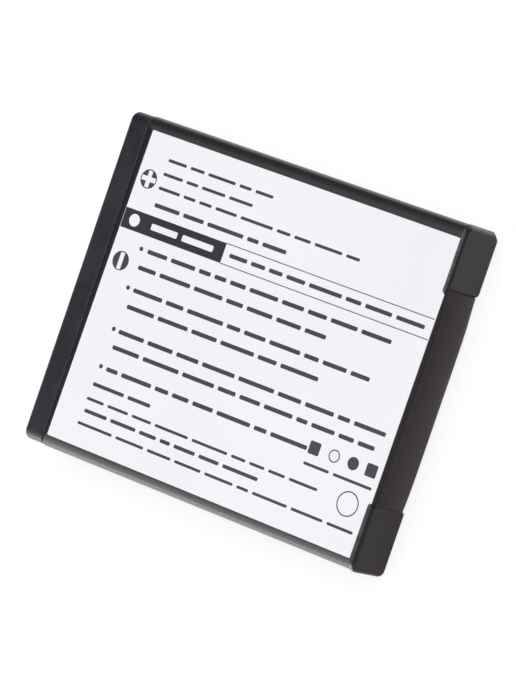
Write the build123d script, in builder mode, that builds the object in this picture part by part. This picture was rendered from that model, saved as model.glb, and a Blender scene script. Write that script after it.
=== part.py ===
from build123d import *
import os

# Slim rechargeable camera battery: a sealed cell between two moulded end caps, held together
# by a black film and carrying a white label on its front.
# X runs from the contact end (-X) to the rear end (+X), Y is the height of the label and
# Z points out of its face. The pack lies on its back on Z = 0. Millimetres.

# Outside of the pack, over its ends and its widest cap
pack_length = 40.0
pack_width = 33.7
pack_thickness = 5.9
pack_corner = 0.95

# Film round the body, set in from the caps
film_thickness = 0.10
film_corner = 0.95
face_step = 0.20
side_step = 0.06
glue_line = 0.03
seam_gap = 0.20
film_recess = 0.08
fold_radius = 0.20
edge_clearance = 0.05

# Label on the front of the film
label_thickness = 0.08
label_inset = 0.33
label_margin = 1.22
label_corner = 0.10

# Terminal cap
cap_reach = 2.30
cap_set_in = 0.15
cap_end_round = 0.45
cap_edge_round = 0.12
end_wall = 0.90
skirt_wall = 0.60
side_wall = 0.80
cavity_corner = 0.40
rib_thickness = 0.60
rib_overlap = 0.50

# Contacts behind their windows
contact_width = 2.40
contact_height = 3.00
contact_thickness = 0.40
contact_corner = 0.25
contact_bevel = 0.08
contact_pitch = 4.10
middle_contact = 6.80
window_clearance = 0.10
window_lead_in = 0.15

# Circuit board
board_length = 27.0
board_thickness = 0.60
board_clearance = 0.10
board_corner = 0.30
header_room = 2.90

# Chips on the inner face of the board: width along Y, height along Z, thickness along X
switch_chip_size = (5.0, 2.0, 0.75)
control_chip_size = (2.9, 1.6, 1.10)
thermistor_size = (1.6, 0.8, 0.80)
resistor_size = (1.0, 0.5, 0.35)
capacitor_size = (1.0, 0.5, 0.50)
chip_spacing = 0.70
chip_pair_pitch = 1.20
chip_bevel = 0.12
leg_width = 0.40
leg_reach = 0.45
leg_thickness = 0.20
control_leg_pitch = 0.95
switch_leg_pitch = 1.27
end_cap = 0.22
end_cap_proud = 0.02

# Lid of the cell: gasket, rivet and weld plate
can_bottom_bevel = 0.40
gasket_width = 5.0
gasket_height = 2.6
gasket_thickness = 0.40
gasket_corner = 0.60
rivet_diameter = 2.20
rivet_thickness = 0.50
rivet_edge = 0.12
insulator_end_gap = 1.47
insulator_thickness = 0.15
insulator_margin = 0.10
insulator_clearance = 0.15
weld_plate_width = 3.2
weld_plate_height = 2.4
weld_plate_thickness = 0.30
weld_plate_centre = 8.6

# Nickel strips and the fuse on the negative side
strip_width = 2.2
strip_thickness = 0.12
strip_bend = 0.35
strip_landing = 2.6
rivet_overhang = 0.30
fuse_length = 4.5
fuse_height = 2.6
fuse_corner = 0.30
fuse_gap = 1.20
lead_overhang = 2.6

# Rear cap
rear_plate = 0.84
rear_pad_thickness = 0.15
rear_pad_margin = 1.2
rear_pad_corner = 0.40
block_length = 6.4
block_reach = 0.50
block_draft = 12.0
block_round = 0.10
lip_bevel = 0.08
step_corner = 0.28
flap_clearance = 0.06

# Places along the thickness
mid_height = pack_thickness / 2
film_back = face_step
film_front = pack_thickness - face_step
film_depth = film_front - film_back
film_width = pack_width - 2 * side_step

# Section shared by the can, the skirt of the terminal cap and the plate of the rear cap
body_width = film_width - 2 * (film_thickness + glue_line)
body_depth = film_depth - 2 * (film_thickness + glue_line)
body_corner = film_corner - film_thickness - glue_line

# Places along the length, from the contact end
cap_end = -pack_length / 2
cap_edge = cap_end + cap_reach
film_start = cap_edge + seam_gap
label_start = film_start + label_inset
board_front = cap_end + end_wall
board_back = board_front + board_thickness
rib_front = board_back + glue_line
rib_back = rib_front + rib_thickness
lid_face = board_back + header_room

# Places along the length, from the rear end
rear_end = pack_length / 2
film_end = rear_end - film_recess
plate_outer = film_end - film_thickness - glue_line
plate_inner = plate_outer - rear_plate
cell_end = plate_inner - rear_pad_thickness
block_inner = rear_end - block_reach
sleeve_end = block_inner - edge_clearance
block_step = pack_width / 2 - block_length
flap_width = 2 * (block_step - flap_clearance)
label_end = film_end - fold_radius

# Room inside the terminal cap
cavity_height = body_depth - 2 * skirt_wall
cavity_width = body_width - 2 * side_wall
board_pocket = board_length + 2 * board_clearance
board_height = cavity_height - 2 * board_clearance
insulator_length = cavity_width - 2 * insulator_end_gap
rib_opening = board_length - 2 * rib_overlap
contact_places = [middle_contact + step * contact_pitch for step in (-1, 0, 1)]

# Heights on the lid, outwards from its face
gasket_face = lid_face - gasket_thickness
rivet_face = gasket_face - rivet_thickness
insulator_face = lid_face - insulator_thickness
weld_plate_face = lid_face - weld_plate_thickness
lead_face = insulator_face - strip_thickness
fuse_near = -gasket_width / 2 - fuse_gap
fuse_far = fuse_near - fuse_length
lead_bend = fuse_far - lead_overhang
tab_bend = weld_plate_centre + weld_plate_width / 2 + strip_thickness
rivet_overlap = rivet_diameter / 2 + rivet_overhang

# Places of the chips along the board, from the positive strip down to the fuse lead
thermistor_place = tab_bend - strip_landing - chip_spacing - thermistor_size[0] / 2
switch_place = thermistor_place - thermistor_size[0] / 2 - chip_spacing - switch_chip_size[0] / 2
control_place = switch_place - switch_chip_size[0] / 2 - chip_spacing - control_chip_size[0] / 2
resistor_place = control_place - control_chip_size[0] / 2 - chip_spacing - resistor_size[0] / 2
capacitor_place = resistor_place - resistor_size[0] / 2 - chip_spacing - capacitor_size[0] / 2


def across(x, y=0.0):
    # Plane square to the length, its own X along the width and its Z towards the rear
    return Plane(origin=(x, y, mid_height), x_dir=(0, 1, 0), z_dir=(1, 0, 0))


def outwards(x, y=0.0):
    # Plane square to the length, its Z towards the contact end
    return Plane(origin=(x, y, mid_height), x_dir=(0, -1, 0), z_dir=(-1, 0, 0))


def body_section():
    RectangleRounded(body_width, body_depth, body_corner)


def keep(builder, name):
    builder.part.label = name
    export_step(builder.part, f"parts/{name}.step")


os.makedirs("parts", exist_ok=True)

# Terminal cap: outer rim, skirt under the film, stepped pocket for the board, contact windows
with BuildPart() as terminal_cap:
    with BuildSketch(across(cap_end)):
        RectangleRounded(pack_width - 2 * cap_set_in, pack_thickness, pack_corner)
    extrude(amount=cap_reach)
    fillet(terminal_cap.faces().sort_by(Axis.X)[0].edges(), cap_end_round)
    fillet(terminal_cap.faces().sort_by(Axis.X)[-1].edges(), cap_edge_round)
    with BuildSketch(across(cap_edge)):
        body_section()
    extrude(amount=lid_face - cap_edge)
    pockets = [
        (board_front, rib_front, board_pocket),
        (rib_front, rib_back, rib_opening),
        (rib_back, lid_face, cavity_width),
    ]
    for pocket_front, pocket_back, pocket_width in pockets:
        with BuildSketch(across(pocket_front)):
            RectangleRounded(pocket_width, cavity_height, cavity_corner)
        extrude(amount=pocket_back - pocket_front, mode=Mode.SUBTRACT)
    with BuildSketch(across(cap_end)):
        with Locations(*[(place, 0) for place in contact_places]):
            RectangleRounded(
                contact_width + 2 * window_clearance,
                contact_height + 2 * window_clearance,
                contact_corner + window_clearance,
            )
    extrude(amount=end_wall, mode=Mode.SUBTRACT)
    window_edges = terminal_cap.faces().sort_by(Axis.X)[0].inner_wires().edges()
    chamfer(window_edges, window_lead_in)
keep(terminal_cap, "terminal_cap")

# Rear cap: plate under the film, with a block at each corner that stands proud all round
with BuildPart() as rear_cap:
    for side in (-1, 1):
        block_centre = side * (block_step + block_length / 2)
        block_plane = Plane(origin=(block_inner, block_centre, mid_height), x_dir=(0, side, 0), z_dir=(1, 0, 0))
        with BuildSketch(block_plane) as block:
            Rectangle(block_length, pack_thickness)
            fillet(block.vertices().group_by(Axis.X)[-1], pack_corner)
            fillet(block.vertices().group_by(Axis.X)[0], step_corner)
        extrude(amount=block_reach, taper=block_draft)
    square_faces = rear_cap.faces().filter_by(Axis.X).group_by(Axis.X)
    fillet([edge for face in square_faces[-1] for edge in face.edges()], block_round)
    square_faces = rear_cap.faces().filter_by(Axis.X).group_by(Axis.X)
    chamfer([edge for face in square_faces[0] for edge in face.edges()], lip_bevel)
    with BuildSketch(across(plate_inner)):
        body_section()
    extrude(amount=rear_plate)
    fold_edges = rear_cap.edges().filter_by(Axis.Y).filter_by_position(Axis.X, plate_outer, plate_outer)
    fillet(fold_edges, fold_radius - film_thickness - glue_line)
keep(rear_cap, "rear_cap")

# Film: a sleeve round the body, carried on between the corner blocks and folded over the rear end
with BuildPart() as wrap_film:
    with BuildSketch(across(film_start)):
        RectangleRounded(film_width, film_depth, film_corner)
        offset(amount=-film_thickness, mode=Mode.SUBTRACT)
    extrude(amount=sleeve_end - film_start)
    flap_length = film_end - sleeve_end
    flap_plane = Plane(origin=(sleeve_end + flap_length / 2, 0, mid_height), x_dir=(1, 0, 0), z_dir=(0, -1, 0))
    with BuildSketch(flap_plane) as flap:
        Rectangle(flap_length, film_depth)
        fillet(flap.vertices().group_by(Axis.X)[-1], fold_radius)
    extrude(amount=flap_width / 2, both=True)
    with BuildSketch(flap_plane) as flap_inside:
        with Locations((-film_thickness / 2, 0)):
            Rectangle(flap_length - film_thickness, film_depth - 2 * film_thickness)
        fillet(flap_inside.vertices().group_by(Axis.X)[-1], fold_radius - film_thickness)
    extrude(amount=flap_width / 2, both=True, mode=Mode.SUBTRACT)
keep(wrap_film, "wrap_film")

# Label: a sheet on the front, cut back at two corners for the lips of the rear blocks
with BuildPart() as front_label:
    label_height = film_width - 2 * label_margin
    shoulder_length = sleeve_end - label_start
    with BuildSketch(Plane.XY.offset(film_front)) as label_outline:
        with Locations((label_start + shoulder_length / 2, 0)):
            RectangleRounded(shoulder_length, label_height, label_corner)
        with Locations((label_end - (label_end - label_start) / 2, 0)):
            Rectangle(label_end - label_start, flap_width)
    extrude(amount=label_thickness)
keep(front_label, "front_label")

# Cell: the sealed can, its bottom edge bevelled
with BuildPart() as cell:
    with BuildSketch(across(lid_face)):
        body_section()
    extrude(amount=cell_end - lid_face)
    chamfer(cell.faces().sort_by(Axis.X)[-1].edges(), can_bottom_bevel)
keep(cell, "cell")

# Tape between the can and the rear cap
with BuildPart() as rear_pad:
    with BuildSketch(across(cell_end)):
        RectangleRounded(body_width - 2 * rear_pad_margin, body_depth - 2 * rear_pad_margin, rear_pad_corner)
    extrude(amount=rear_pad_thickness)
keep(rear_pad, "rear_pad")

# Lid of the cell: gasket, rivet through it, and the plate that the positive strip is welded to
with BuildPart() as terminal_gasket:
    with BuildSketch(outwards(lid_face)):
        RectangleRounded(gasket_width, gasket_height, gasket_corner)
    extrude(amount=gasket_thickness)
keep(terminal_gasket, "terminal_gasket")

with BuildPart() as negative_rivet:
    with BuildSketch(outwards(gasket_face)):
        Circle(rivet_diameter / 2)
    extrude(amount=rivet_thickness)
    chamfer(negative_rivet.faces().sort_by(Axis.X)[0].edges(), rivet_edge)
keep(negative_rivet, "negative_rivet")

with BuildPart() as weld_plate:
    with BuildSketch(outwards(lid_face, weld_plate_centre)):
        Rectangle(weld_plate_width, weld_plate_height)
    extrude(amount=weld_plate_thickness)
keep(weld_plate, "weld_plate")

# Paper over the lid, with a window for the gasket and one for the weld plate
with BuildPart() as header_insulator:
    with BuildSketch(across(lid_face)):
        Rectangle(insulator_length, cavity_height - 2 * insulator_margin)
        Rectangle(
            gasket_width + 2 * insulator_clearance,
            gasket_height + 2 * insulator_clearance,
            mode=Mode.SUBTRACT,
        )
        with Locations((weld_plate_centre, 0)):
            Rectangle(
                weld_plate_width + 2 * insulator_clearance,
                weld_plate_height + 2 * insulator_clearance,
                mode=Mode.SUBTRACT,
            )
    extrude(amount=-insulator_thickness)
keep(header_insulator, "header_insulator")


def folded_strip(lid_side, start, bend, landing):
    # Middle line of a strip that lies on the lid side, turns at the bend and lands on the board
    on_lid = lid_side - strip_thickness / 2
    on_board = board_back + strip_thickness / 2
    FilletPolyline((on_lid, start), (on_lid, bend), (on_board, bend), (on_board, landing), radius=strip_bend)
    offset(amount=strip_thickness / 2, side=Side.BOTH)


strip_plane = Plane.XY.offset(mid_height - strip_width / 2)

# Positive strip, from the weld plate to the board
with BuildPart() as positive_tab:
    with BuildSketch(strip_plane):
        with BuildLine():
            tab_start = weld_plate_centre - weld_plate_width / 2
            folded_strip(weld_plate_face, tab_start, tab_bend - strip_thickness / 2, tab_bend - strip_landing)
        make_face()
    extrude(amount=strip_width)
keep(positive_tab, "positive_tab")

# Negative side: a flat strip from the rivet over the fuse, and a folded one from under it to the board
with BuildPart() as negative_tab:
    with BuildSketch(outwards(rivet_face, (rivet_overlap + fuse_far) / 2)):
        Rectangle(rivet_overlap - fuse_far, strip_width)
    extrude(amount=strip_thickness)
keep(negative_tab, "negative_tab")

with BuildPart() as thermal_fuse:
    with BuildSketch(outwards(lead_face, (fuse_near + fuse_far) / 2)):
        RectangleRounded(fuse_length, fuse_height, fuse_corner)
    extrude(amount=lead_face - rivet_face)
keep(thermal_fuse, "thermal_fuse")

with BuildPart() as fuse_lead:
    with BuildSketch(strip_plane):
        with BuildLine():
            folded_strip(insulator_face, fuse_near, lead_bend + strip_thickness / 2, lead_bend + strip_landing)
        make_face()
    extrude(amount=strip_width)
keep(fuse_lead, "fuse_lead")

# Circuit board against the end wall of the terminal cap
with BuildPart() as circuit_board:
    with BuildSketch(across(board_front)):
        RectangleRounded(board_length, board_height, board_corner)
    extrude(amount=board_thickness)
keep(circuit_board, "circuit_board")

# Three contacts on the outer face of the board, one in each window
for contact_name, place in zip(("contact_negative", "contact_sense", "contact_positive"), contact_places):
    with BuildPart() as contact:
        with BuildSketch(outwards(board_front, place)):
            RectangleRounded(contact_width, contact_height, contact_corner)
        extrude(amount=contact_thickness)
        chamfer(contact.faces().sort_by(Axis.X)[0].edges(), contact_bevel)
    keep(contact, contact_name)


def legged_chip(place, size, leg_count, leg_pitch):
    # Moulded body with bevelled top edges and a row of legs along each long side
    width, height, thickness = size
    with BuildSketch(across(board_back, place)) as body_outline:
        Rectangle(width, height)
    extrude(body_outline.sketch, amount=thickness)
    with BuildSketch(across(board_back, place)) as leg_outline:
        with GridLocations(leg_pitch, height + leg_reach, leg_count, 2):
            Rectangle(leg_width, leg_reach)
    extrude(leg_outline.sketch, amount=leg_thickness)


def end_capped_chip(place, size, rise=0.0):
    # Small block with a metal cap over each end
    width, height, thickness = size
    chip_plane = Plane(origin=(board_back, place, mid_height + rise), x_dir=(0, 1, 0), z_dir=(1, 0, 0))
    with BuildSketch(chip_plane) as body_outline:
        Rectangle(width, height)
    extrude(body_outline.sketch, amount=thickness)
    with BuildSketch(chip_plane) as cap_outline:
        with GridLocations(width - end_cap, 0, 2, 1):
            Rectangle(end_cap, height + 2 * end_cap_proud)
    extrude(cap_outline.sketch, amount=thickness + end_cap_proud)


# Chips on the inner face of the board
with BuildPart() as switch_chip:
    legged_chip(switch_place, switch_chip_size, 4, switch_leg_pitch)
    chamfer(switch_chip.faces().sort_by(Axis.X)[-1].edges(), chip_bevel)
keep(switch_chip, "switch_chip")

with BuildPart() as control_chip:
    legged_chip(control_place, control_chip_size, 3, control_leg_pitch)
    chamfer(control_chip.faces().sort_by(Axis.X)[-1].edges(), chip_bevel)
keep(control_chip, "control_chip")

with BuildPart() as thermistor:
    end_capped_chip(thermistor_place, thermistor_size)
keep(thermistor, "thermistor")

with BuildPart() as chip_resistors:
    for side in (-1, 1):
        end_capped_chip(resistor_place, resistor_size, side * chip_pair_pitch / 2)
keep(chip_resistors, "chip_resistors")

with BuildPart() as chip_capacitors:
    for side in (-1, 1):
        end_capped_chip(capacitor_place, capacitor_size, side * chip_pair_pitch / 2)
keep(chip_capacitors, "chip_capacitors")
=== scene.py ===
import bmesh
import bpy
import math
import random
from mathutils import Matrix, Vector


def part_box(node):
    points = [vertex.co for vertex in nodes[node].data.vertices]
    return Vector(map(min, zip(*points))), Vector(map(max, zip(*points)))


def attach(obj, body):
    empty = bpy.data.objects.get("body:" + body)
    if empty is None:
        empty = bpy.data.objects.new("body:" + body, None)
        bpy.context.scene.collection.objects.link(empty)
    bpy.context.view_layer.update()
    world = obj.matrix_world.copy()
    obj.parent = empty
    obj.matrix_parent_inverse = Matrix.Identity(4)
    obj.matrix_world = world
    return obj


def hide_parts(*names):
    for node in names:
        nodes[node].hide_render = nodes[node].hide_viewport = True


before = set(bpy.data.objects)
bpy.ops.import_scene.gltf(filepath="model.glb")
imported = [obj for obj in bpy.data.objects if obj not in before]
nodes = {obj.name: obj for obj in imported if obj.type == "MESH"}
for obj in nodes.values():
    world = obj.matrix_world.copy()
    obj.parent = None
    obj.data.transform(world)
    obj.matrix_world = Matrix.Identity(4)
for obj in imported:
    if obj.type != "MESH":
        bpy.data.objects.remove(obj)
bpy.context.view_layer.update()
mm = 0.001  # the frame is in metres, the sizes below are in millimetres
print("frame loaded:", len(nodes), "nodes")


# shader maths: a wrapped socket adds Math nodes as an expression is written
class Wire:
    def __init__(self, tree, socket=None):
        self.tree = tree
        self.socket = socket

    def node(self, kind, settings=None, links=None, out=0):
        made = self.tree.nodes.new(kind)
        for name, value in (settings or {}).items():
            setattr(made, name, value)
        for name, value in (links or {}).items():
            if isinstance(value, Wire):
                self.tree.links.new(value.socket, made.inputs[name])
            else:
                made.inputs[name].default_value = value
        return Wire(self.tree, made.outputs[out])

    def other(self, out):  # another output of the same node
        return Wire(self.tree, self.socket.node.outputs[out])

    def math(self, operation, first, second=0.0):
        return self.node("ShaderNodeMath", {"operation": operation}, {0: first, 1: second})

    def __add__(self, other):
        return self.math("ADD", self, other)

    def __radd__(self, other):
        return self.math("ADD", other, self)

    def __sub__(self, other):
        return self.math("SUBTRACT", self, other)

    def __rsub__(self, other):
        return self.math("SUBTRACT", other, self)

    def __mul__(self, other):
        return self.math("MULTIPLY", self, other)

    def __rmul__(self, other):
        return self.math("MULTIPLY", other, self)

    def __lt__(self, other):
        return self.math("LESS_THAN", self, other)

    def __gt__(self, other):
        return self.math("GREATER_THAN", self, other)

    def __abs__(self):
        return self.math("ABSOLUTE", self)

    def rise(self, low, high):  # 0 below low, 1 above high, smooth between
        return self.node("ShaderNodeMapRange", {"interpolation_type": "SMOOTHSTEP"},
                         {"Value": self, "From Min": low, "From Max": high})

    def blend(self, first, second):  # self is the factor between two colours
        return self.node("ShaderNodeMix", {"data_type": "RGBA"}, {0: self, 6: first, 7: second}, out=2)


noiseMiddle = 0.5  # noise swings about this


def grey(level, tint=(1, 1, 1)):
    return (level * tint[0], level * tint[1], level * tint[2], 1)


def newMaterial(name):
    material = bpy.data.materials.new(name)
    material.use_nodes = True
    shader = material.node_tree.nodes["Principled BSDF"]
    start = Wire(material.node_tree)
    place = start.node("ShaderNodeTexCoord", out="Object")
    return material, shader, start, place


def plug(wire, shader, socketName):
    wire.tree.links.new(wire.socket, shader.inputs[socketName])


def plugRelief(height, shader):  # the height is in millimetres
    bump = height.node("ShaderNodeBump", None, {"Height": height, "Strength": 1, "Distance": mm})
    plug(bump, shader, "Normal")


def noise(start, place, scale, detail=2):
    return start.node("ShaderNodeTexNoise", None, {"Vector": place, "Scale": scale, "Detail": detail})


def axes(start, place, wanted):  # the place along the wanted axes, in millimetres
    split = start.node("ShaderNodeSeparateXYZ", None, {0: place})
    return [split.other(axis) * (1 / mm) for axis in wanted]


def boxOf(node):
    return [[value / mm for value in corner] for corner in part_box(node)]


def span(base, limits):  # limits measured from a base
    return [base + limit for limit in limits]


# a moulded or coated surface: slow drift of tone, fine grain, soft undulation, a few specks of dust
def coatedSurface(name, look, tone=None, gloss=None):
    material, shader, start, place = newMaterial(name)
    drift = noise(start, place, look["driftScale"], detail=3)
    grain = noise(start, place, look["grainScale"])
    swell = noise(start, place, look["swellScale"], detail=1)
    colour = drift.rise(*look["driftRange"]).blend(look["darkColour"], look["paleColour"])
    if tone:  # paler or browner in some places, from wear and from painted highlights, shade and reflections
        colour = tone(start, place, colour)
    cells = start.node("ShaderNodeTexVoronoi", None, {"Vector": place, "Scale": look["speckScale"]},
                       out="Distance")
    chosen = start.node("ShaderNodeSeparateColor", None, {"Color": cells.other("Color")})
    speck = (cells < look["speckSize"]) * (chosen < look["speckShare"])
    colour = (speck * look["speckStrength"]).blend(colour, look["speckColour"])
    plug(colour, shader, "Base Color")
    roughness = look["roughness"] + (grain - noiseMiddle) * look["roughnessSpread"]
    plug(roughness + (drift - noiseMiddle) * look["roughnessDrift"], shader, "Roughness")
    plugRelief(grain * look["grainHeight"] + swell * look["swellHeight"], shader)
    shader.inputs["Specular IOR Level"].default_value = look["specular"]
    if gloss:  # a glossier skin in some places
        plug(gloss(start, place), shader, "Coat Weight")
        shader.inputs["Coat Roughness"].default_value = look["coatRoughness"]
        shader.inputs["Coat IOR"].default_value = look["coatIor"]
    return material


blackLook = {  # shared by the black surfaces; heights in millimetres
    "driftScale": 260, "driftRange": (0.35, 0.65), "grainScale": 9000, "swellScale": 500, "speckScale": 650,
    "speckSize": 0.035, "speckShare": 0.35, "speckStrength": 0.35, "speckColour": grey(0.25),
    "roughness": 0.5, "roughnessSpread": 0.25, "roughnessDrift": 0.1, "grainHeight": 0.004,
    "swellHeight": 0.002, "specular": 0.4, "darkColour": grey(0.010), "paleColour": grey(0.018),
}

# painted highlight and reflection of the terminal cap, and its polish: pairs of places run from none to full,
# the edge's own are from the edge
capPaintedLightAndPolish = {
    "edge": -0.2, "paintedSheenFrom": (-0.15, -0.10), "edgeGlintFrom": (-0.03, -0.01), "paintedSheen": 0.024,
    "edgeGlint": (0.05, 0.12), "blue": (1, 0.98, 1.3), "patchScale": 2600, "patchRange": (0.40, 0.65),
    "lowerSide": (-16.6, -16.3), "lowerFront": (4.5, 4.9), "lowerReflection": grey(0.09),
    "lowerPolish": (-16.7, -15.8), "upperPolish": (15.8, 16.7), "upperShare": 0.5,
}


def capTone(start, place, colour):  # painted highlight along its proud edge beside the film, in uneven patches, and a painted reflection on its lower long side
    x, y, z = axes(start, place, "XYZ")
    edge = boxOf("wrap_film")[0][0] + capPaintedLightAndPolish["edge"]
    # painted highlight along the proud edge beside the film, in uneven patches
    patches = noise(start, place, capPaintedLightAndPolish["patchScale"], detail=3).rise(*capPaintedLightAndPolish["patchRange"])
    edgeGlint = patches.blend(*[grey(level, capPaintedLightAndPolish["blue"]) for level in capPaintedLightAndPolish["edgeGlint"]])
    paintedSheen = grey(capPaintedLightAndPolish["paintedSheen"], capPaintedLightAndPolish["blue"])
    paintedSheen = x.rise(*span(edge, capPaintedLightAndPolish["edgeGlintFrom"])).blend(paintedSheen, edgeGlint)
    colour = x.rise(*span(edge, capPaintedLightAndPolish["paintedSheenFrom"])).blend(colour, paintedSheen)
    # painted reflection: the lower long side is paler towards the front
    lower = (1 - y.rise(*capPaintedLightAndPolish["lowerSide"])) * z.rise(*capPaintedLightAndPolish["lowerFront"])
    return lower.blend(colour, capPaintedLightAndPolish["lowerReflection"])


def capGloss(start, place):  # its long sides are polished by handling, the lower one more
    y = axes(start, place, "Y")[0]
    return 1 - y.rise(*capPaintedLightAndPolish["lowerPolish"]) + capPaintedLightAndPolish["upperShare"] * y.rise(*capPaintedLightAndPolish["upperPolish"])


# wear, painted highlights, shade and reflection of the rear cap, and its polish: places along x are from its
# end, pairs of levels are for the lower and the upper block
rearPaintedLightWearAndPolish = {
    "side": (-0.25, -0.15), "lowerRound": (0.45, 0.55), "front": (-0.15, -0.10), "rimEnd": (-0.11, -0.07),
    "upward": (-11, 11), "patchScale": 1600, "patchRange": (0.35, 0.65),
    "blue": (1, 0.99, 1.14), "dull": (0.044, 0.063), "bright": (0.079, 0.106),
    "shaded": (0.038, 0.045), "shadedFrom": (-0.36, -0.06),
    "lowerSide": (-16.5, -16.1), "lowerReflection": grey(0.16),
    "paleUpperEnd": grey(0.032, (1.2, 0.97, 0.92)), "paleUpperEndFrom": (-0.05, 0), "paleUpperEndShare": 0.75,
    "cool": (1.1, 1, 1.3), "groove": (0.0115, 0.0095), "grooveEnd": (-0.06, 0),
    "padEdgeHighlight": grey(0.029), "padEdgeHighlightFrom": (0.01, 0.05), "padEdgeHighlightEnd": (0.09, 0.13),
    "polish": (16.0, 16.5), "upperHalf": (0, 1), "upperLoss": 0.4, "upperSide": (16.3, 16.6),
    "upperShare": 0.6,
}


def rearTone(start, place, colour):  # its proud rims are worn and carry a painted highlight, paler than its end
    x, y, z = axes(start, place, "XYZ")
    end, side, top = boxOf("rear_cap")[1]
    upper = y.rise(*rearPaintedLightWearAndPolish["upward"])

    def byBlock(levels, tint):
        return upper.blend(*[grey(level, rearPaintedLightWearAndPolish[tint]) for level in rearPaintedLightWearAndPolish[levels]])

    outer = abs(y).rise(*span(side, rearPaintedLightWearAndPolish["side"]))
    lowerRound = 1 - y.rise(*span(-side, rearPaintedLightWearAndPolish["lowerRound"]))
    outer = start.math("MAXIMUM", outer, lowerRound)
    rim = start.math("MAXIMUM", z.rise(*span(top, rearPaintedLightWearAndPolish["front"])), outer)
    rim = rim * (1 - x.rise(*span(end, rearPaintedLightWearAndPolish["rimEnd"])))
    # painted highlight on the proud rims, with worn patches
    patches = noise(start, place, rearPaintedLightWearAndPolish["patchScale"], detail=3).rise(*rearPaintedLightWearAndPolish["patchRange"])
    rimWearAndHighlight = patches.blend(byBlock("dull", "blue"), byBlock("bright", "blue"))
    shaded = x.rise(*span(end, rearPaintedLightWearAndPolish["shadedFrom"])) * (1 - outer)  # painted shade, darker towards the groove
    rimWearAndHighlight = shaded.blend(rimWearAndHighlight, byBlock("shaded", "blue"))
    # painted reflection: the lower long side is paler
    rimWearAndHighlight = (1 - y.rise(*rearPaintedLightWearAndPolish["lowerSide"])).blend(rimWearAndHighlight, rearPaintedLightWearAndPolish["lowerReflection"])
    paleUpperEnd = rearPaintedLightWearAndPolish["paleUpperEndShare"] * upper * x.rise(*span(end, rearPaintedLightWearAndPolish["paleUpperEndFrom"]))
    colour = paleUpperEnd.blend(colour, rearPaintedLightWearAndPolish["paleUpperEnd"])  # the end of the upper block is paler and browner
    sunk = 1 - x.rise(*span(end, rearPaintedLightWearAndPolish["grooveEnd"]))
    colour = sunk.blend(colour, byBlock("groove", "cool"))  # the groove is less brown
    padEdgeHighlight = (1 - upper) * x.rise(*span(end, rearPaintedLightWearAndPolish["padEdgeHighlightFrom"]))
    padEdgeHighlight = padEdgeHighlight * (1 - x.rise(*span(end, rearPaintedLightWearAndPolish["padEdgeHighlightEnd"])))
    colour = padEdgeHighlight.blend(colour, rearPaintedLightWearAndPolish["padEdgeHighlight"])  # painted highlight along the lower pad's edge
    return rim.blend(colour, rimWearAndHighlight)


def rearGloss(start, place):  # its outer rims are polished by handling, and the whole of its upper side
    x, y = axes(start, place, "XY")
    end = boxOf("rear_cap")[1][0]
    rims = abs(y).rise(*rearPaintedLightWearAndPolish["polish"]) * (1 - x.rise(*span(end, rearPaintedLightWearAndPolish["rimEnd"])))
    rims = rims * (1 - rearPaintedLightWearAndPolish["upperLoss"] * y.rise(*rearPaintedLightWearAndPolish["upperHalf"]))
    return start.math("MAXIMUM", rims, rearPaintedLightWearAndPolish["upperShare"] * y.rise(*rearPaintedLightWearAndPolish["upperSide"]))


filmPaintedLightAndGloss = {  # brown tint, painted reflections and shade of the film, and where it is duller: pairs of places run from none to full
    "lowerSide": (-16.66, -16.42), "lowerFront": (4.6, 5.0), "lowerReflection": grey(0.15, (1.03, 1, 0.96)),
    "endFlap": (19.40, 19.50), "brown": (1.18, 0.94, 1.02), "upright": (0.5, 5.3), "levels": (0.076, 0.042),
    "backSheenAlong": (-6, 1), "backSheenBelow": (0.4, 1.5), "backSheenTone": grey(0.115, (1.05, 1, 0.93)),
    "fold": (5.58, 5.69), "foldShade": 0.026,
    "stripEnd": (-17.3, -17.1), "stripSide": (15.4, 15.8), "stripLoss": 0.62,
}


def filmTone(start, place, colour):  # its end flap is a little brown and paler towards the back, a painted reflection, with painted shade on the front fold; its lower long edge carries a painted reflection
    x, y, z = axes(start, place, "XYZ")
    brown = filmPaintedLightAndGloss["brown"]
    # painted reflection: the lower long edge is paler towards the front
    paintedSheen = (1 - y.rise(*filmPaintedLightAndGloss["lowerSide"])) * z.rise(*filmPaintedLightAndGloss["lowerFront"])
    colour = paintedSheen.blend(colour, filmPaintedLightAndGloss["lowerReflection"])
    # the end flap: brown, and paler towards the back, a painted reflection
    endFlap = z.rise(*filmPaintedLightAndGloss["upright"]).blend(*[grey(level, brown) for level in filmPaintedLightAndGloss["levels"]])
    # painted reflection: paler near the back of the flap's upper part
    backSheen = y.rise(*filmPaintedLightAndGloss["backSheenAlong"]) * (1 - z.rise(*filmPaintedLightAndGloss["backSheenBelow"]))
    endFlap = backSheen.blend(endFlap, filmPaintedLightAndGloss["backSheenTone"])
    # painted shade on the front fold
    endFlap = z.rise(*filmPaintedLightAndGloss["fold"]).blend(endFlap, grey(filmPaintedLightAndGloss["foldShade"], brown))
    return x.rise(*filmPaintedLightAndGloss["endFlap"]).blend(colour, endFlap)


def filmGloss(start, place):  # glossy, but duller at its stretched end and in the strip beside the cap
    x, y = axes(start, place, "XY")
    strip = (1 - x.rise(*filmPaintedLightAndGloss["stripEnd"])) * (1 - abs(y).rise(*filmPaintedLightAndGloss["stripSide"]))
    return (1 - filmPaintedLightAndGloss["stripLoss"] * strip) * (1 - x.rise(*filmPaintedLightAndGloss["endFlap"]))


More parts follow.
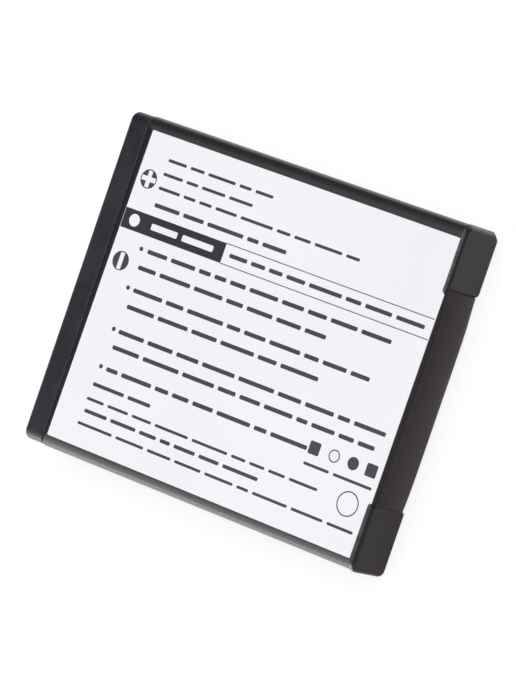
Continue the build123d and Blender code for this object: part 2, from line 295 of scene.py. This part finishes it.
rearBrown = (1.5, 0.7, 0.75)
filmViolet = (1.6, 0.2, 2.2)
inkTint = (1, 0.94, 1.04)
bandTint = (1, 0.94, 1.2)
capPlastic = coatedSurface("capPlastic", {
    **blackLook, "darkColour": (0.001, 0.0008, 0.008, 1), "paleColour": (0.012, 0.0114, 0.022, 1),
    "driftScale": 180, "specular": 0.33, "speckShare": 0.8, "speckStrength": 0.2,
    "coatRoughness": 0.3, "coatIor": 1.55,
}, capTone, capGloss)
rearPlastic = coatedSurface("rearPlastic", {
    **blackLook, "darkColour": grey(0.005, rearBrown), "paleColour": grey(0.011, rearBrown),
    "roughness": 0.45, "specular": 0.2, "coatRoughness": 0.3, "coatIor": 1.6,
}, rearTone, rearGloss)
blackFilm = coatedSurface("blackFilm", {
    **blackLook, "darkColour": grey(0.001, filmViolet), "paleColour": grey(0.003, filmViolet),
    "roughness": 0.42, "roughnessSpread": 0.1, "grainHeight": 0.0002, "grainScale": 4000, "swellScale": 320,
    "swellHeight": 0.0005, "specular": 0.05, "coatRoughness": 0.33, "coatIor": 1.6,
}, filmTone, filmGloss)
labelLook = {
    **blackLook, "driftScale": 90, "roughness": 0.45, "roughnessSpread": 0.1, "grainHeight": 0.0006,
    "speckShare": 0.0, "specular": 0.3,
}
whiteLabel = coatedSurface("whiteLabel", {
    **labelLook, "darkColour": (0.870, 0.868, 0.905, 1), "paleColour": (0.890, 0.890, 0.925, 1),
})
printInk = coatedSurface("printInk", {
    **labelLook, "darkColour": grey(0.045, inkTint), "paleColour": grey(0.056, inkTint),
})
bandInk = coatedSurface("bandInk", {  # laid on thicker
    **labelLook, "darkColour": grey(0.017, bandTint), "paleColour": grey(0.023, bandTint),
})
knockOut = coatedSurface("knockOut", {  # the label's white between ink
    **labelLook, "darkColour": (0.86, 0.86, 0.90, 1), "paleColour": (0.885, 0.885, 0.92, 1),
})
print("outer finishes made")

# modelling helpers
facing = 0.9  # a normal or an edge this much along an axis counts as facing it
tiny = 0.01  # slack for selecting by place, in millimetres
small = 0.1
smoothBelow = 35  # degrees


def addBox(name, low, high):
    bpy.ops.object.select_all(action="DESELECT")
    centre = [(a + b) / 2 * mm for a, b in zip(low, high)]
    size = [(b - a) * mm for a, b in zip(low, high)]
    bpy.ops.mesh.primitive_cube_add(size=1, location=centre, scale=size)
    piece = bpy.context.object
    piece.name = name
    piece.data.name = name
    bpy.ops.object.transform_apply(location=True, rotation=True, scale=True)
    return piece


# select by place, in edit mode: the test gets the middle in millimetres and a face's normal or an edge's run
def pick(piece, kind, test):
    bpy.ops.mesh.select_mode(type=kind)
    bpy.ops.mesh.select_all(action="DESELECT")
    grid = bmesh.from_edit_mesh(piece.data)
    if kind == "VERT":
        for corner in grid.verts:
            corner.select_set(test(corner.co / mm))
    elif kind == "FACE":
        for face in grid.faces:
            face.select_set(test(face.calc_center_median() / mm, face.normal))
    else:
        for edge in grid.edges:
            first, second = (corner.co for corner in edge.verts)
            edge.select_set(test((first + second) / (2 * mm), (second - first).normalized()))
    grid.select_flush_mode()
    bmesh.update_edit_mesh(piece.data)


def cut(axis, place):  # a straight cut through the whole piece
    bpy.ops.mesh.select_all(action="SELECT")
    point = [0, 0, 0]
    normal = [0, 0, 0]
    point[axis] = place * mm
    normal[axis] = 1
    bpy.ops.mesh.bisect(plane_co=point, plane_no=normal, threshold=1e-7)


def slide(x=0, y=0, z=0):  # move what is selected, in millimetres
    bpy.ops.transform.translate(value=(x * mm, y * mm, z * mm))


def roundEdges(radius, steps):  # bevel the selected edges
    bpy.ops.mesh.bevel(offset=radius * mm, segments=steps, affect="EDGES")


def finishWith(piece, kind, **settings):  # add a modifier and apply it
    bpy.context.view_layer.objects.active = piece
    step = piece.modifiers.new(kind.lower(), kind)
    for name, value in settings.items():
        setattr(step, name, value)
    bpy.ops.object.modifier_apply(modifier=step.name)


def soften(piece):  # smooth rounds, with the flat faces left flat
    bpy.ops.object.shade_smooth_by_angle(angle=math.radians(smoothBelow))
    finishWith(piece, "WEIGHTED_NORMAL", keep_sharp=True)


def dress(piece, material, slotName, *replaced):
    piece.data.materials.clear()
    piece.data.materials.append(material)
    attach(piece, "root")
    if replaced:
        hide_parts(*replaced)
    print("piece made:", piece.name, len(piece.data.polygons), "faces")


# film: a sleeve round the body, carried on between the rear blocks and folded over the end
film = {
    "corner": 0.95, "cornerSteps": 10, "frontFold": 0.20, "backFold": 0.30, "foldSteps": 6, "thickness": 0.1,
    "startReach": 0.19, "flapHalf": 10.39, "flapFlare": 0.07, "sleeveEnd": 19.45, "columns": 16, "rows": 16,
    "bulge": 0.33, "backDrop": 0.16, "upperDrop": 0.30, "lowerDrop": 0.12, "dropPower": 6,
    "ripple": 0.03, "rippleSize": 4.0, "rippleWithin": 0.98,
}


def makeFilm():
    low, high = boxOf("wrap_film")
    low[0] -= film["startReach"]  # up to the terminal cap
    half = film["flapHalf"]
    sleeveEnd = film["sleeveEnd"]
    power = film["dropPower"]
    middle = (low[2] + high[2]) / 2
    piece = addBox("filmSleeve", low, high)
    bpy.ops.object.mode_set(mode="EDIT")
    pick(piece, "EDGE", lambda spot, run: abs(run.x) > facing)
    roundEdges(film["corner"], film["cornerSteps"])
    pick(piece, "FACE", lambda spot, normal: normal.x < -facing)
    bpy.ops.mesh.delete(type="FACE")
    for side in (-1, 1):
        cut(1, side * half)
    cut(0, sleeveEnd)
    pick(piece, "FACE", lambda spot, normal: spot.x > sleeveEnd + tiny and abs(spot.y) > half)
    bpy.ops.mesh.delete(type="FACE")
    for fold, front in ((film["frontFold"], True), (film["backFold"], False)):
        pick(piece, "EDGE", lambda spot, run:
             spot.x > high[0] - tiny and abs(run.y) > facing and (spot.z > middle) == front)
        roundEdges(fold, film["foldSteps"])
    # a grid over the flap lets it swell, as film pulled over an end does
    for step in range(1, film["columns"]):
        cut(1, half * (2 * step / film["columns"] - 1))
    for step in range(1, film["rows"]):
        cut(2, low[2] + (high[2] - low[2]) * step / film["rows"])
    for side in (-1, 1):  # the end fills the room that the drafted blocks leave
        pick(piece, "VERT", lambda spot: spot.x > sleeveEnd + small and spot.y * side > half - tiny)
        slide(y=side * film["flapFlare"])
    bpy.ops.object.mode_set(mode="OBJECT")
    swollen = piece.vertex_groups.new(name="swollen")
    rippled = piece.vertex_groups.new(name="rippled")
    for point in piece.data.vertices:
        spot = point.co / mm
        if spot.x > sleeveEnd + small:
            across = spot.y / half
            behind = (high[2] - spot.z) / (high[2] - low[2])
            drop = film["upperDrop"] if across > 0 else film["lowerDrop"]
            lift = film["bulge"] - drop * across ** power - film["backDrop"] * behind ** power
            swollen.add([point.index], max(lift, 0) / film["bulge"], "REPLACE")
            if abs(across) < film["rippleWithin"] and spot.x > high[0] - small:
                rippled.add([point.index], 1.0, "REPLACE")
    finishWith(piece, "DISPLACE", direction="X", vertex_group="swollen", mid_level=0,
               strength=film["bulge"] * mm)
    waves = bpy.data.textures.new("filmWaves", "CLOUDS")
    waves.noise_scale = film["rippleSize"] * mm
    finishWith(piece, "DISPLACE", texture=waves, vertex_group="rippled", mid_level=noiseMiddle,
               strength=film["ripple"] * mm)
    finishWith(piece, "SOLIDIFY", thickness=film["thickness"] * mm, offset=-1)
    soften(piece)
    dress(piece, blackFilm, "black_film", "wrap_film")


makeFilm()

# rear cap: a plate under the film and two corner blocks, each a lipped rim round a raised end pad
rearCap = {
    "reach": 0.50, "step": 10.45, "frontCorner": 0.95, "backCorner": 0.75, "stepCorner": 0.46,
    "cornerSteps": 10, "lipBevel": 0.08, "seedDepth": 0.02,
    "rim": [(0.06, 0.27), (0.02, 0.02), (0.03, 0.005)],  # each: inwards, then outwards
    "groove": [(0.005, -0.08), (0.06, 0.0), (0.005, 0.13)],
    "pad": [(0.01, 0.05), (0.025, 0.035), (0.035, 0.025), (0.05, 0.015)],
    "slopeFrom": 16.0, "upperSlope": -0.20, "lowerSlope": -0.11, "stepZone": 1, "lowerStepFill": 0.15,
    "padFrom": 0.02, "lowerPadReach": 0.07,
    "upperHook": (0.36, 0.32), "lowerHook": (0.10, 0.20),  # each: past the step, rounding
    "hookStart": 0.005, "hookRoot": 0.3, "hookDepth": 0.34, "hookHeight": 0.165, "hookDrop": 0.01,
    "hookSteps": 6, "hookEdge": 0.04, "hookEdgeSteps": 2,
    "plateFace": 19.79, "plateInset": (0.175, 0.315), "plateCorner": 0.82, "plateFold": 0.07, "foldSteps": 3,
}


def makeCornerBlock():
    low, high = boxOf("rear_cap")
    lip = high[0] - rearCap["reach"] + rearCap["lipBevel"]
    block = addBox("cornerBlock", (lip, rearCap["step"], low[2]),
                   (lip + rearCap["seedDepth"], high[1], high[2]))
    bpy.ops.object.mode_set(mode="EDIT")
    middle = (rearCap["step"] + high[1]) / 2
    for radius, test in (("frontCorner", lambda spot: spot.y > middle and spot.z > high[2] - small),
                         ("backCorner", lambda spot: spot.y > middle and spot.z < low[2] + small),
                         ("stepCorner", lambda spot: spot.y < middle)):
        pick(block, "EDGE", lambda spot, run: abs(run.x) > facing and test(spot))
        roundEdges(rearCap[radius], rearCap["cornerSteps"])
    pick(block, "FACE", lambda spot, normal: normal.x < -facing)
    bpy.ops.mesh.inset(thickness=rearCap["lipBevel"] * mm, depth=rearCap["lipBevel"] * mm)
    pick(block, "FACE", lambda spot, normal: normal.x > facing)
    for inwards, outwards in (*rearCap["rim"], *rearCap["groove"], *rearCap["pad"]):
        bpy.ops.mesh.inset(thickness=inwards * mm, depth=outwards * mm)
    bpy.ops.object.mode_set(mode="OBJECT")
    return block


# the upper block's outer side slopes in, the lower one's a little out, and the lower step meets the film
def shapeSides(block, side, slope, stepFill, padReach):
    base = boxOf("rear_cap")[1][0] - rearCap["reach"] + rearCap["lipBevel"] + rearCap["seedDepth"]
    rimTop = base + sum(outwards for inwards, outwards in rearCap["rim"])
    bpy.context.view_layer.objects.active = block
    bpy.ops.object.mode_set(mode="EDIT")
    pick(block, "VERT", lambda spot: spot.x > base + tiny and spot.y * side > rearCap["slopeFrom"])
    slide(y=slope)
    stepEnd = rearCap["step"] + rearCap["stepZone"]
    pick(block, "VERT", lambda spot: spot.x > base + tiny and spot.y * side < stepEnd)
    slide(y=stepFill)
    pick(block, "VERT", lambda spot: spot.x > rimTop + rearCap["padFrom"])
    slide(x=padReach)
    bpy.ops.object.mode_set(mode="OBJECT")


def makeHook(side, reach, rounding):  # each lip runs on past the step, to a rounded end on the film
    high = boxOf("rear_cap")[1]
    start = high[0] - rearCap["reach"] + rearCap["hookStart"]
    top = high[2] - rearCap["hookDrop"]
    inner = side * (rearCap["step"] - reach)
    root = side * (rearCap["step"] + rearCap["hookRoot"])
    hook = addBox("lipHook", (start, min(inner, root), top - rearCap["hookHeight"]),
                  (start + rearCap["hookDepth"], max(inner, root), top))
    bpy.ops.object.mode_set(mode="EDIT")
    pick(hook, "EDGE", lambda spot, run:
         abs(run.z) > facing and spot.x < start + small and abs(spot.y) < rearCap["step"])
    roundEdges(rounding, rearCap["hookSteps"])
    pick(hook, "FACE", lambda spot, normal: normal.z > facing)
    bpy.ops.mesh.region_to_loop()
    roundEdges(rearCap["hookEdge"], rearCap["hookEdgeSteps"])
    bpy.ops.object.mode_set(mode="OBJECT")
    return hook


def makeRearCap():
    low, high = boxOf("rear_cap")
    upper = makeCornerBlock()
    bpy.ops.object.duplicate()
    lower = bpy.context.object
    bpy.ops.object.mode_set(mode="EDIT")
    bpy.ops.mesh.select_all(action="SELECT")
    bpy.ops.transform.resize(value=(1, -1, 1), center_override=(0, 0, 0))
    bpy.ops.mesh.normals_make_consistent(inside=False)
    bpy.ops.object.mode_set(mode="OBJECT")
    side, face = rearCap["plateInset"]
    piece = addBox("rearCapShell", (low[0], low[1] + side, low[2] + face),
                   (rearCap["plateFace"], high[1] - side, high[2] - face))
    bpy.ops.object.mode_set(mode="EDIT")
    pick(piece, "EDGE", lambda spot, run: abs(run.x) > facing)
    roundEdges(rearCap["plateCorner"], rearCap["cornerSteps"])
    pick(piece, "EDGE", lambda spot, run: abs(run.y) > facing and spot.x > rearCap["plateFace"] - tiny)
    roundEdges(rearCap["plateFold"], rearCap["foldSteps"])
    bpy.ops.object.mode_set(mode="OBJECT")
    shapeSides(upper, 1, rearCap["upperSlope"], 0, 0)
    shapeSides(lower, -1, rearCap["lowerSlope"], rearCap["lowerStepFill"], rearCap["lowerPadReach"])
    for block in (upper, lower, makeHook(1, *rearCap["upperHook"]), makeHook(-1, *rearCap["lowerHook"])):
        finishWith(piece, "BOOLEAN", operation="UNION", object=block)
        bpy.data.objects.remove(block)
    soften(piece)
    dress(piece, rearPlastic, "rear_plastic", "rear_cap")


makeRearCap()

# label: a sheet on the front of the film, cut and stuck on a little askew
label = {
    "tongue": (-10.46, 10.30), "taper": (0.15, -0.28), "tongueReach": 0.05, "shoulder": 19.45,
    "corner": 0.10, "cornerSteps": 4, "cornerZone": 1, "edge": 0.012, "edgeSteps": 2,
    "lower": 0.11, "topTrim": 0.05, "topLean": 0.085, "bottomLean": -0.075, "skew": -0.21,
}
labelLow, labelHigh = boxOf("front_label")


def turnWithLabel(piece):  # the print is square to the label, and both are turned together
    bpy.ops.object.select_all(action="DESELECT")
    piece.select_set(True)
    bpy.context.view_layer.objects.active = piece
    piece.rotation_euler.z = math.radians(label["skew"])
    bpy.ops.object.transform_apply(location=True, rotation=True, scale=True)


def makeLabel():
    low = (labelLow[0], labelLow[1] - label["lower"], labelLow[2])
    high = (label["shoulder"], labelHigh[1] - label["lower"] - label["topTrim"], labelHigh[2])
    piece = addBox("labelSheet", low, high)
    bpy.ops.object.mode_set(mode="EDIT")
    for side, lean in ((1, label["topLean"]), (-1, label["bottomLean"])):
        pick(piece, "VERT", lambda spot: spot.x < 0 and spot.y * side > 0)
        slide(x=lean)
    bottom, top = label["tongue"]
    for place in label["tongue"]:
        cut(1, place)
    pick(piece, "FACE", lambda spot, normal: normal.x > facing and bottom < spot.y < top)
    reach = (labelHigh[0] + label["tongueReach"] - label["shoulder"]) * mm
    bpy.ops.mesh.extrude_region_move(TRANSFORM_OT_translate={"value": (reach, 0, 0)})
    for side, taper in zip((-1, 1), label["taper"]):  # it narrows between the lips' rounded ends
        pick(piece, "VERT", lambda spot: spot.x > label["shoulder"] + small and spot.y * side > 0)
        slide(y=taper)
    cornersFrom = top + label["cornerZone"]
    pick(piece, "EDGE", lambda spot, run: abs(run.z) > facing and abs(spot.y) > cornersFrom)
    roundEdges(label["corner"], label["cornerSteps"])
    pick(piece, "FACE", lambda spot, normal: normal.z > facing)
    bpy.ops.mesh.region_to_loop()
    roundEdges(label["edge"], label["edgeSteps"])
    bpy.ops.object.mode_set(mode="OBJECT")
    turnWithLabel(piece)
    dress(piece, whiteLabel, "white_label", "front_label")


makeLabel()

# print: flat patches of ink on the label; bars are start, end, bottom, top, discs and rings centre and radius
ink = {
    "sunk": 0.004, "proud": 0.006, "overInk": 0.010, "rounding": 0.12, "roundingSteps": 3, "ring": 0.12,
    "circleSteps": 48,
}


def makePrint(name, material, bars=(), discs=(), rings=(), proud=ink["proud"], rounding=ink["rounding"]):
    level = (labelHigh[2] - ink["sunk"]) * mm
    bpy.ops.object.select_all(action="DESELECT")
    bpy.ops.mesh.primitive_plane_add(size=1)
    piece = bpy.context.object
    piece.name = name
    piece.data.name = name
    bpy.ops.object.mode_set(mode="EDIT")
    bpy.ops.mesh.select_all(action="SELECT")
    bpy.ops.mesh.delete(type="VERT")
    for x0, x1, y0, y1 in bars:
        middle = ((x0 + x1) / 2 * mm, (y0 + y1) / 2 * mm, level)
        bpy.ops.mesh.primitive_plane_add(size=1, location=middle)
        bpy.ops.transform.resize(value=((x1 - x0) * mm, (y1 - y0) * mm, 1), center_override=middle)
    if bars:
        bpy.ops.mesh.select_all(action="SELECT")
        bpy.ops.mesh.bevel(offset=rounding * mm, segments=ink["roundingSteps"], affect="VERTICES")
    for x, y, radius in (*discs, *rings):
        bpy.ops.mesh.primitive_circle_add(vertices=ink["circleSteps"], radius=radius * mm, fill_type="NGON",
                                          location=(x * mm, y * mm, level))
        if (x, y, radius) in rings:
            bpy.ops.mesh.select_mode(type="FACE")
            bpy.ops.mesh.inset(thickness=ink["ring"] * mm)
            bpy.ops.mesh.delete(type="FACE")
    bpy.ops.mesh.select_all(action="SELECT")
    bpy.ops.mesh.extrude_region_move(TRANSFORM_OT_translate={"value": (0, 0, (ink["sunk"] + proud) * mm)})
    bpy.ops.mesh.select_all(action="SELECT")
    bpy.ops.mesh.normals_make_consistent(inside=False)
    bpy.ops.object.mode_set(mode="OBJECT")
    turnWithLabel(piece)
    dress(piece, material, "white_label")


rows = {
    "heights": {"head": 0.30, "bold": 0.40, "body": 0.42, "small": 0.28, "strong": 0.36},
    "shortest": 1.2, "longest": 4.4, "gap": 0.5, "least": 0.6, "seed": 7,
    "places": [  # start, end, middle, kind
        (-14.2, -1.45, 13.15, "head"), (-14.25, -3.35, 11.75, "head"), (-14.25, 9.95, 10.35, "head"),
        (-14.05, 1.95, 8.68, "bold"), (-4.0, 18.95, 6.60, "bold"),
        (-13.05, 16.1, 4.25, "body"), (-13.5, 9.2, 2.52, "body"), (-13.15, 15.2, 0.30, "body"),
        (-13.25, 9.9, -1.38, "body"), (-13.2, 18.8, -3.92, "body"), (-13.3, 18.15, -5.50, "body"),
        (-13.15, 11.2, -7.70, "body"), (11.35, 19.25, -9.05, "small"), (-14.05, -6.95, -9.48, "strong"),
        (-14.2, 13.75, -10.97, "small"), (-14.0, 7.2, -12.15, "strong"), (-14.3, 18.9, -13.47, "small"),
    ],
    "bullets": [(-13.85, 4.27, 0.22), (-13.85, 0.35, 0.22), (-13.85, -3.85, 0.22), (-13.85, -7.65, 0.22)],
}


def rowBars():
    draw = random.Random(rows["seed"])
    bars = []
    for start, end, middle, kind in rows["places"]:
        half = rows["heights"][kind] / 2
        x = start
        while end - x > rows["least"]:
            width = draw.uniform(rows["shortest"], rows["longest"])
            if end - x - width < rows["shortest"] + rows["gap"]:
                width = end - x
            bars.append((x, x + width, middle - half, middle + half))
            x += width + rows["gap"]
    return bars


makePrint("labelRows", printInk, bars=rowBars(), discs=rows["bullets"])

band = {
    "left": -17.09, "middle": -4.73, "right": 19.68, "span": (5.62, 7.60), "line": 0.09,
    "rounding": 0.03, "lineRounding": 0.02, "disc": (-15.70, 6.62, 0.62),
    "blocks": [(-13.6, -10.4, 6.30, 6.92), (-9.8, -6.0, 6.30, 6.92)],
}
bandLines = [(band["middle"], band["right"], *span(edge, (-band["line"] / 2, band["line"] / 2)))
             for edge in band["span"]]
bandBar = (band["left"], band["middle"], *band["span"])
makePrint("labelBand", bandInk, bars=[bandBar], rounding=band["rounding"])
makePrint("labelFrame", printInk, bars=bandLines, rounding=band["lineRounding"])
makePrint("bandBlocks", knockOut, bars=band["blocks"], discs=[band["disc"]], proud=ink["overInk"])

signs = {
    "x": -15.70, "plus": 10.81, "minus": 2.52, "radius": 0.95, "arm": 0.83, "bar": 0.24, "rounding": 0.02,
}
x, plus, minus, arm, bar = (signs[key] for key in ("x", "plus", "minus", "arm", "bar"))
signArms = [
    (x - arm, x - bar, plus - bar, plus + bar), (x + bar, x + arm, plus - bar, plus + bar),
    (x - bar, x + bar, plus - arm, plus + arm), (x - bar, x + bar, minus - arm, minus + arm),
]
makePrint("signDiscs", printInk, discs=[(x, plus, signs["radius"]), (x, minus, signs["radius"])])
makePrint("signArms", knockOut, bars=signArms, proud=ink["overInk"], rounding=signs["rounding"])

marks = {
    "y": -7.45, "squares": (12.0, 18.6), "ring": 14.3, "disc": 16.5, "size": 0.62, "rounding": 0.15,
    "largeRing": (17.35, -11.11, 1.20),
}
y, size = marks["y"], marks["size"]
makePrint("labelMarks", printInk, rounding=marks["rounding"],
          bars=[(place - size, place + size, y - size, y + size) for place in marks["squares"]],
          discs=[(marks["disc"], y, size)], rings=[(marks["ring"], y, size), marks["largeRing"]])
print("label and print made")


# finishes of the inner pieces
def metalSurface(name, look):  # rolled or plated metal, streaked along its rolling
    material, shader, start, place = newMaterial(name)
    along = start.node("ShaderNodeMapping", None, {"Vector": place, "Scale": look["brush"]})
    streaks = noise(start, along, look["grainScale"], detail=3)
    drift = noise(start, place, look["driftScale"], detail=3)
    plug(drift.blend(look["darkColour"], look["paleColour"]), shader, "Base Color")
    plug(look["roughness"] + (streaks - noiseMiddle) * look["roughnessSpread"], shader, "Roughness")
    plugRelief(streaks * look["grainHeight"], shader)
    shader.inputs["Metallic"].default_value = 1
    return material


metalLook = {
    "brush": (1, 0.08, 1), "grainScale": 14000, "driftScale": 700, "roughness": 0.3, "roughnessSpread": 0.25,
    "grainHeight": 0.001, "darkColour": grey(0.56, (1, 0.97, 0.90)),
    "paleColour": grey(0.66, (1, 0.97, 0.92)),
}
nickelStrip = metalSurface("nickelStrip", metalLook)
goldPlate = metalSurface("goldPlate", {
    **metalLook, "brush": (1, 1, 0.1), "roughness": 0.24, "darkColour": (0.76, 0.53, 0.20, 1),
    "paleColour": (0.86, 0.66, 0.31, 1),
})
drawnCan = metalSurface("drawnCan", {
    **metalLook, "brush": (0.05, 1, 1), "grainScale": 9000, "roughness": 0.36, "driftScale": 200,
    "darkColour": grey(0.70, (0.98, 0.99, 1)), "paleColour": grey(0.79, (0.98, 0.99, 1)),
})

chipLook = {
    "grainScale": 16000, "grainHeight": 0.003, "roughness": 0.55, "roughnessSpread": 0.15, "tin": grey(0.68),
    "tinPolish": 0.25,
}
chips = {  # the axis of the tinned ends, their length, the body's dark and pale colours
    "switch_chip": (2, 0.45, grey(0.018), grey(0.032)),
    "control_chip": (2, 0.45, grey(0.018), grey(0.032)),
    "thermistor": (1, 0.22, (0.05, 0.06, 0.05, 1), (0.08, 0.09, 0.07, 1)),
    "chip_resistors": (1, 0.22, grey(0.015), grey(0.03)),
    "chip_capacitors": (1, 0.22, (0.30, 0.19, 0.10, 1), (0.38, 0.25, 0.14, 1)),
}


# a chip: a moulded body with tinned ends beyond it, along one axis of its box
def chipSurface(node, axis, tinned, darkColour, paleColour):
    material, shader, start, place = newMaterial(node + "Finish")
    low, high = boxOf(node)
    across = axes(start, place, "XYZ"[axis])[0]
    centre = (low[axis] + high[axis]) / 2
    tin = abs(across - centre) > (high[axis] - low[axis]) / 2 - tinned
    grain = noise(start, place, chipLook["grainScale"])
    body = grain.blend(darkColour, paleColour)
    plug(tin.blend(body, chipLook["tin"]), shader, "Base Color")
    plug(tin, shader, "Metallic")
    roughness = chipLook["roughness"] - tin * chipLook["tinPolish"]
    plug(roughness + (grain - noiseMiddle) * chipLook["roughnessSpread"], shader, "Roughness")
    plugRelief(grain * chipLook["grainHeight"], shader)
    return material


boardLook = {
    "trackScale": 0.55, "trackWidth": 0.05, "trackEdge": 0.1, "trackColour": (0.03, 0.22, 0.09, 1),
    "trackShare": 0.7, "trackHeight": 0.02, "grainScale": 6000, "grainHeight": 0.001,
    "darkColour": (0.010, 0.100, 0.045, 1), "paleColour": (0.014, 0.130, 0.060, 1), "roughness": 0.35,
    "roughnessSpread": 0.2,
}


def boardSurface():  # green mask, paler where tracks run under it
    material, shader, start, place = newMaterial("boardMask")
    y, z = axes(start, place, "YZ")
    flat = start.node("ShaderNodeCombineXYZ", None, {0: y, 1: z})
    tracks = start.node("ShaderNodeTexBrick", None, {
        "Vector": flat, "Scale": boardLook["trackScale"], "Mortar Size": boardLook["trackWidth"],
        "Mortar Smooth": boardLook["trackEdge"], "Color1": grey(0), "Color2": grey(0), "Mortar": grey(1),
    }, out="Fac")
    grain = noise(start, place, boardLook["grainScale"])
    mask = grain.blend(boardLook["darkColour"], boardLook["paleColour"])
    colour = (tracks * boardLook["trackShare"]).blend(mask, boardLook["trackColour"])
    plug(colour, shader, "Base Color")
    roughness = boardLook["roughness"] + (grain - noiseMiddle) * boardLook["roughnessSpread"]
    plug(roughness, shader, "Roughness")
    plugRelief(tracks * boardLook["trackHeight"] + grain * boardLook["grainHeight"], shader)
    return material


plainLook = {**blackLook, "speckShare": 0.0, "grainScale": 7000, "roughness": 0.6}
paperSheet = coatedSurface("paperSheet", {
    **plainLook, "darkColour": (0.46, 0.34, 0.19, 1), "paleColour": (0.58, 0.45, 0.28, 1), "driftScale": 1500,
    "roughness": 0.85, "specular": 0.2,
})
foamTape = coatedSurface("foamTape", {
    **plainLook, "darkColour": (0.64, 0.62, 0.54, 1), "paleColour": (0.72, 0.70, 0.62, 1), "roughness": 0.75,
})
gasketPlastic = coatedSurface("gasketPlastic", {
    **plainLook, "darkColour": (0.75, 0.75, 0.72, 1), "paleColour": (0.82, 0.82, 0.80, 1), "roughness": 0.4,
})
fuseCase = coatedSurface("fuseCase", {
    **plainLook, "darkColour": (0.05, 0.09, 0.07, 1), "paleColour": (0.07, 0.11, 0.09, 1), "roughness": 0.45,
})

finishes = {
    "terminal_cap": capPlastic, "rear_cap": rearPlastic, "wrap_film": blackFilm, "front_label": whiteLabel,
    "cell": drawnCan, "rear_pad": foamTape, "terminal_gasket": gasketPlastic, "negative_rivet": nickelStrip,
    "weld_plate": nickelStrip, "header_insulator": paperSheet, "positive_tab": nickelStrip,
    "negative_tab": nickelStrip, "fuse_lead": nickelStrip, "thermal_fuse": fuseCase,
    "circuit_board": boardSurface(), "contact_negative": goldPlate, "contact_sense": goldPlate,
    "contact_positive": goldPlate, **{node: chipSurface(node, *chip) for node, chip in chips.items()},
}
for name, material in finishes.items():
    nodes[name].material_slots[0].material = material
print("finishes given to", len(finishes), "nodes")

# floor: white to the eye and in reflections, with the object's own shadow kept
floorLook = {"radius": 2.0, "steps": 96, "colour": grey(0.35), "glow": grey(0.70), "roughness": 0.9}
bpy.ops.object.select_all(action="DESELECT")
bpy.ops.mesh.primitive_circle_add(vertices=floorLook["steps"], radius=floorLook["radius"], fill_type="NGON",
                                  location=(0, 0, 0))
floor = bpy.context.object
floor.name = "studioFloor"
floorMaterial, floorShader, start, place = newMaterial("paleFloor")
floorShader.inputs["Base Color"].default_value = floorLook["colour"]
floorShader.inputs["Roughness"].default_value = floorLook["roughness"]
floorShader.inputs["Specular IOR Level"].default_value = 0
floorShader.inputs["Emission Strength"].default_value = 1
path = start.node("ShaderNodeLightPath", out="Is Camera Ray")
seen = start.math("MINIMUM", path + path.other("Is Glossy Ray") + path.other("Is Transmission Ray"), 1.0)
plug(seen.blend(grey(0), floorLook["glow"]), floorShader, "Emission Color")
floorMaterial.cycles.emission_sampling = "NONE"
floor.data.materials.append(floorMaterial)

# light: a soft room, a large softbox overhead that casts the shadow, and three that only fill:
# a large and a low one towards the terminal cap and the lower long edge, and one beyond the rear end
room = {"colour": (1, 1, 1, 1), "strength": 0.22}
softboxes = {  # place, width and height in metres, radiance, whether it casts a shadow
    "overheadBox": ((0.05, 0.38, 0.92), 0.9, 0.9, 1.8, True),
    "sideBox": ((-0.45, -0.56, 0.54), 1.04, 1.04, 1.9, False),
    "edgeStrip": ((-0.58, -0.54, 0.09), 1.4, 0.18, 4.6, False),
    "endBox": ((0.75, 0.10, 0.42), 0.8, 0.6, 0.9, False),
}
world = bpy.data.worlds.new("studioRoom")
bpy.context.scene.world = world
world.use_nodes = True
background = world.node_tree.nodes["Background"]
background.inputs["Color"].default_value = room["colour"]
background.inputs["Strength"].default_value = room["strength"]
for name, (spot, wide, high, radiance, shadow) in softboxes.items():
    bpy.ops.object.light_add(type="AREA", location=spot)
    lamp = bpy.context.object
    lamp.name = name
    lamp.data.shape = "RECTANGLE"
    lamp.data.size = wide
    lamp.data.size_y = high
    lamp.data.energy = radiance * math.pi * wide * high
    lamp.data.use_shadow = shadow
    lamp.rotation_euler = (-Vector(spot)).to_track_quat("-Z", "Y").to_euler()
print("floor and", len(softboxes), "softboxes placed")

# camera: azimuth, elevation and roll of the photograph's view, in degrees
view = {
    "azimuth": 94.809, "elevation": 56.806, "roll": -75.113, "distance": 0.40462, "lens": 223.8,
    "aim": (0.483, -0.432, 2.974), "clipStart": 0.01,
}
azimuth = math.radians(view["azimuth"])
elevation = math.radians(view["elevation"])
back = Vector((math.sin(azimuth) * math.cos(elevation), -math.cos(azimuth) * math.cos(elevation),
               math.sin(elevation)))
bpy.ops.object.camera_add(location=Vector(view["aim"]) * mm + back * view["distance"])
camera = bpy.context.object
turn = (-back).to_track_quat("-Z", "Y").to_matrix() @ Matrix.Rotation(math.radians(view["roll"]), 3, "Z")
camera.rotation_euler = turn.to_euler()
camera.data.lens = view["lens"]
camera.data.clip_start = view["clipStart"]
bpy.context.scene.camera = camera
bpy.context.scene.view_settings.view_transform = "Standard"
print("camera placed")
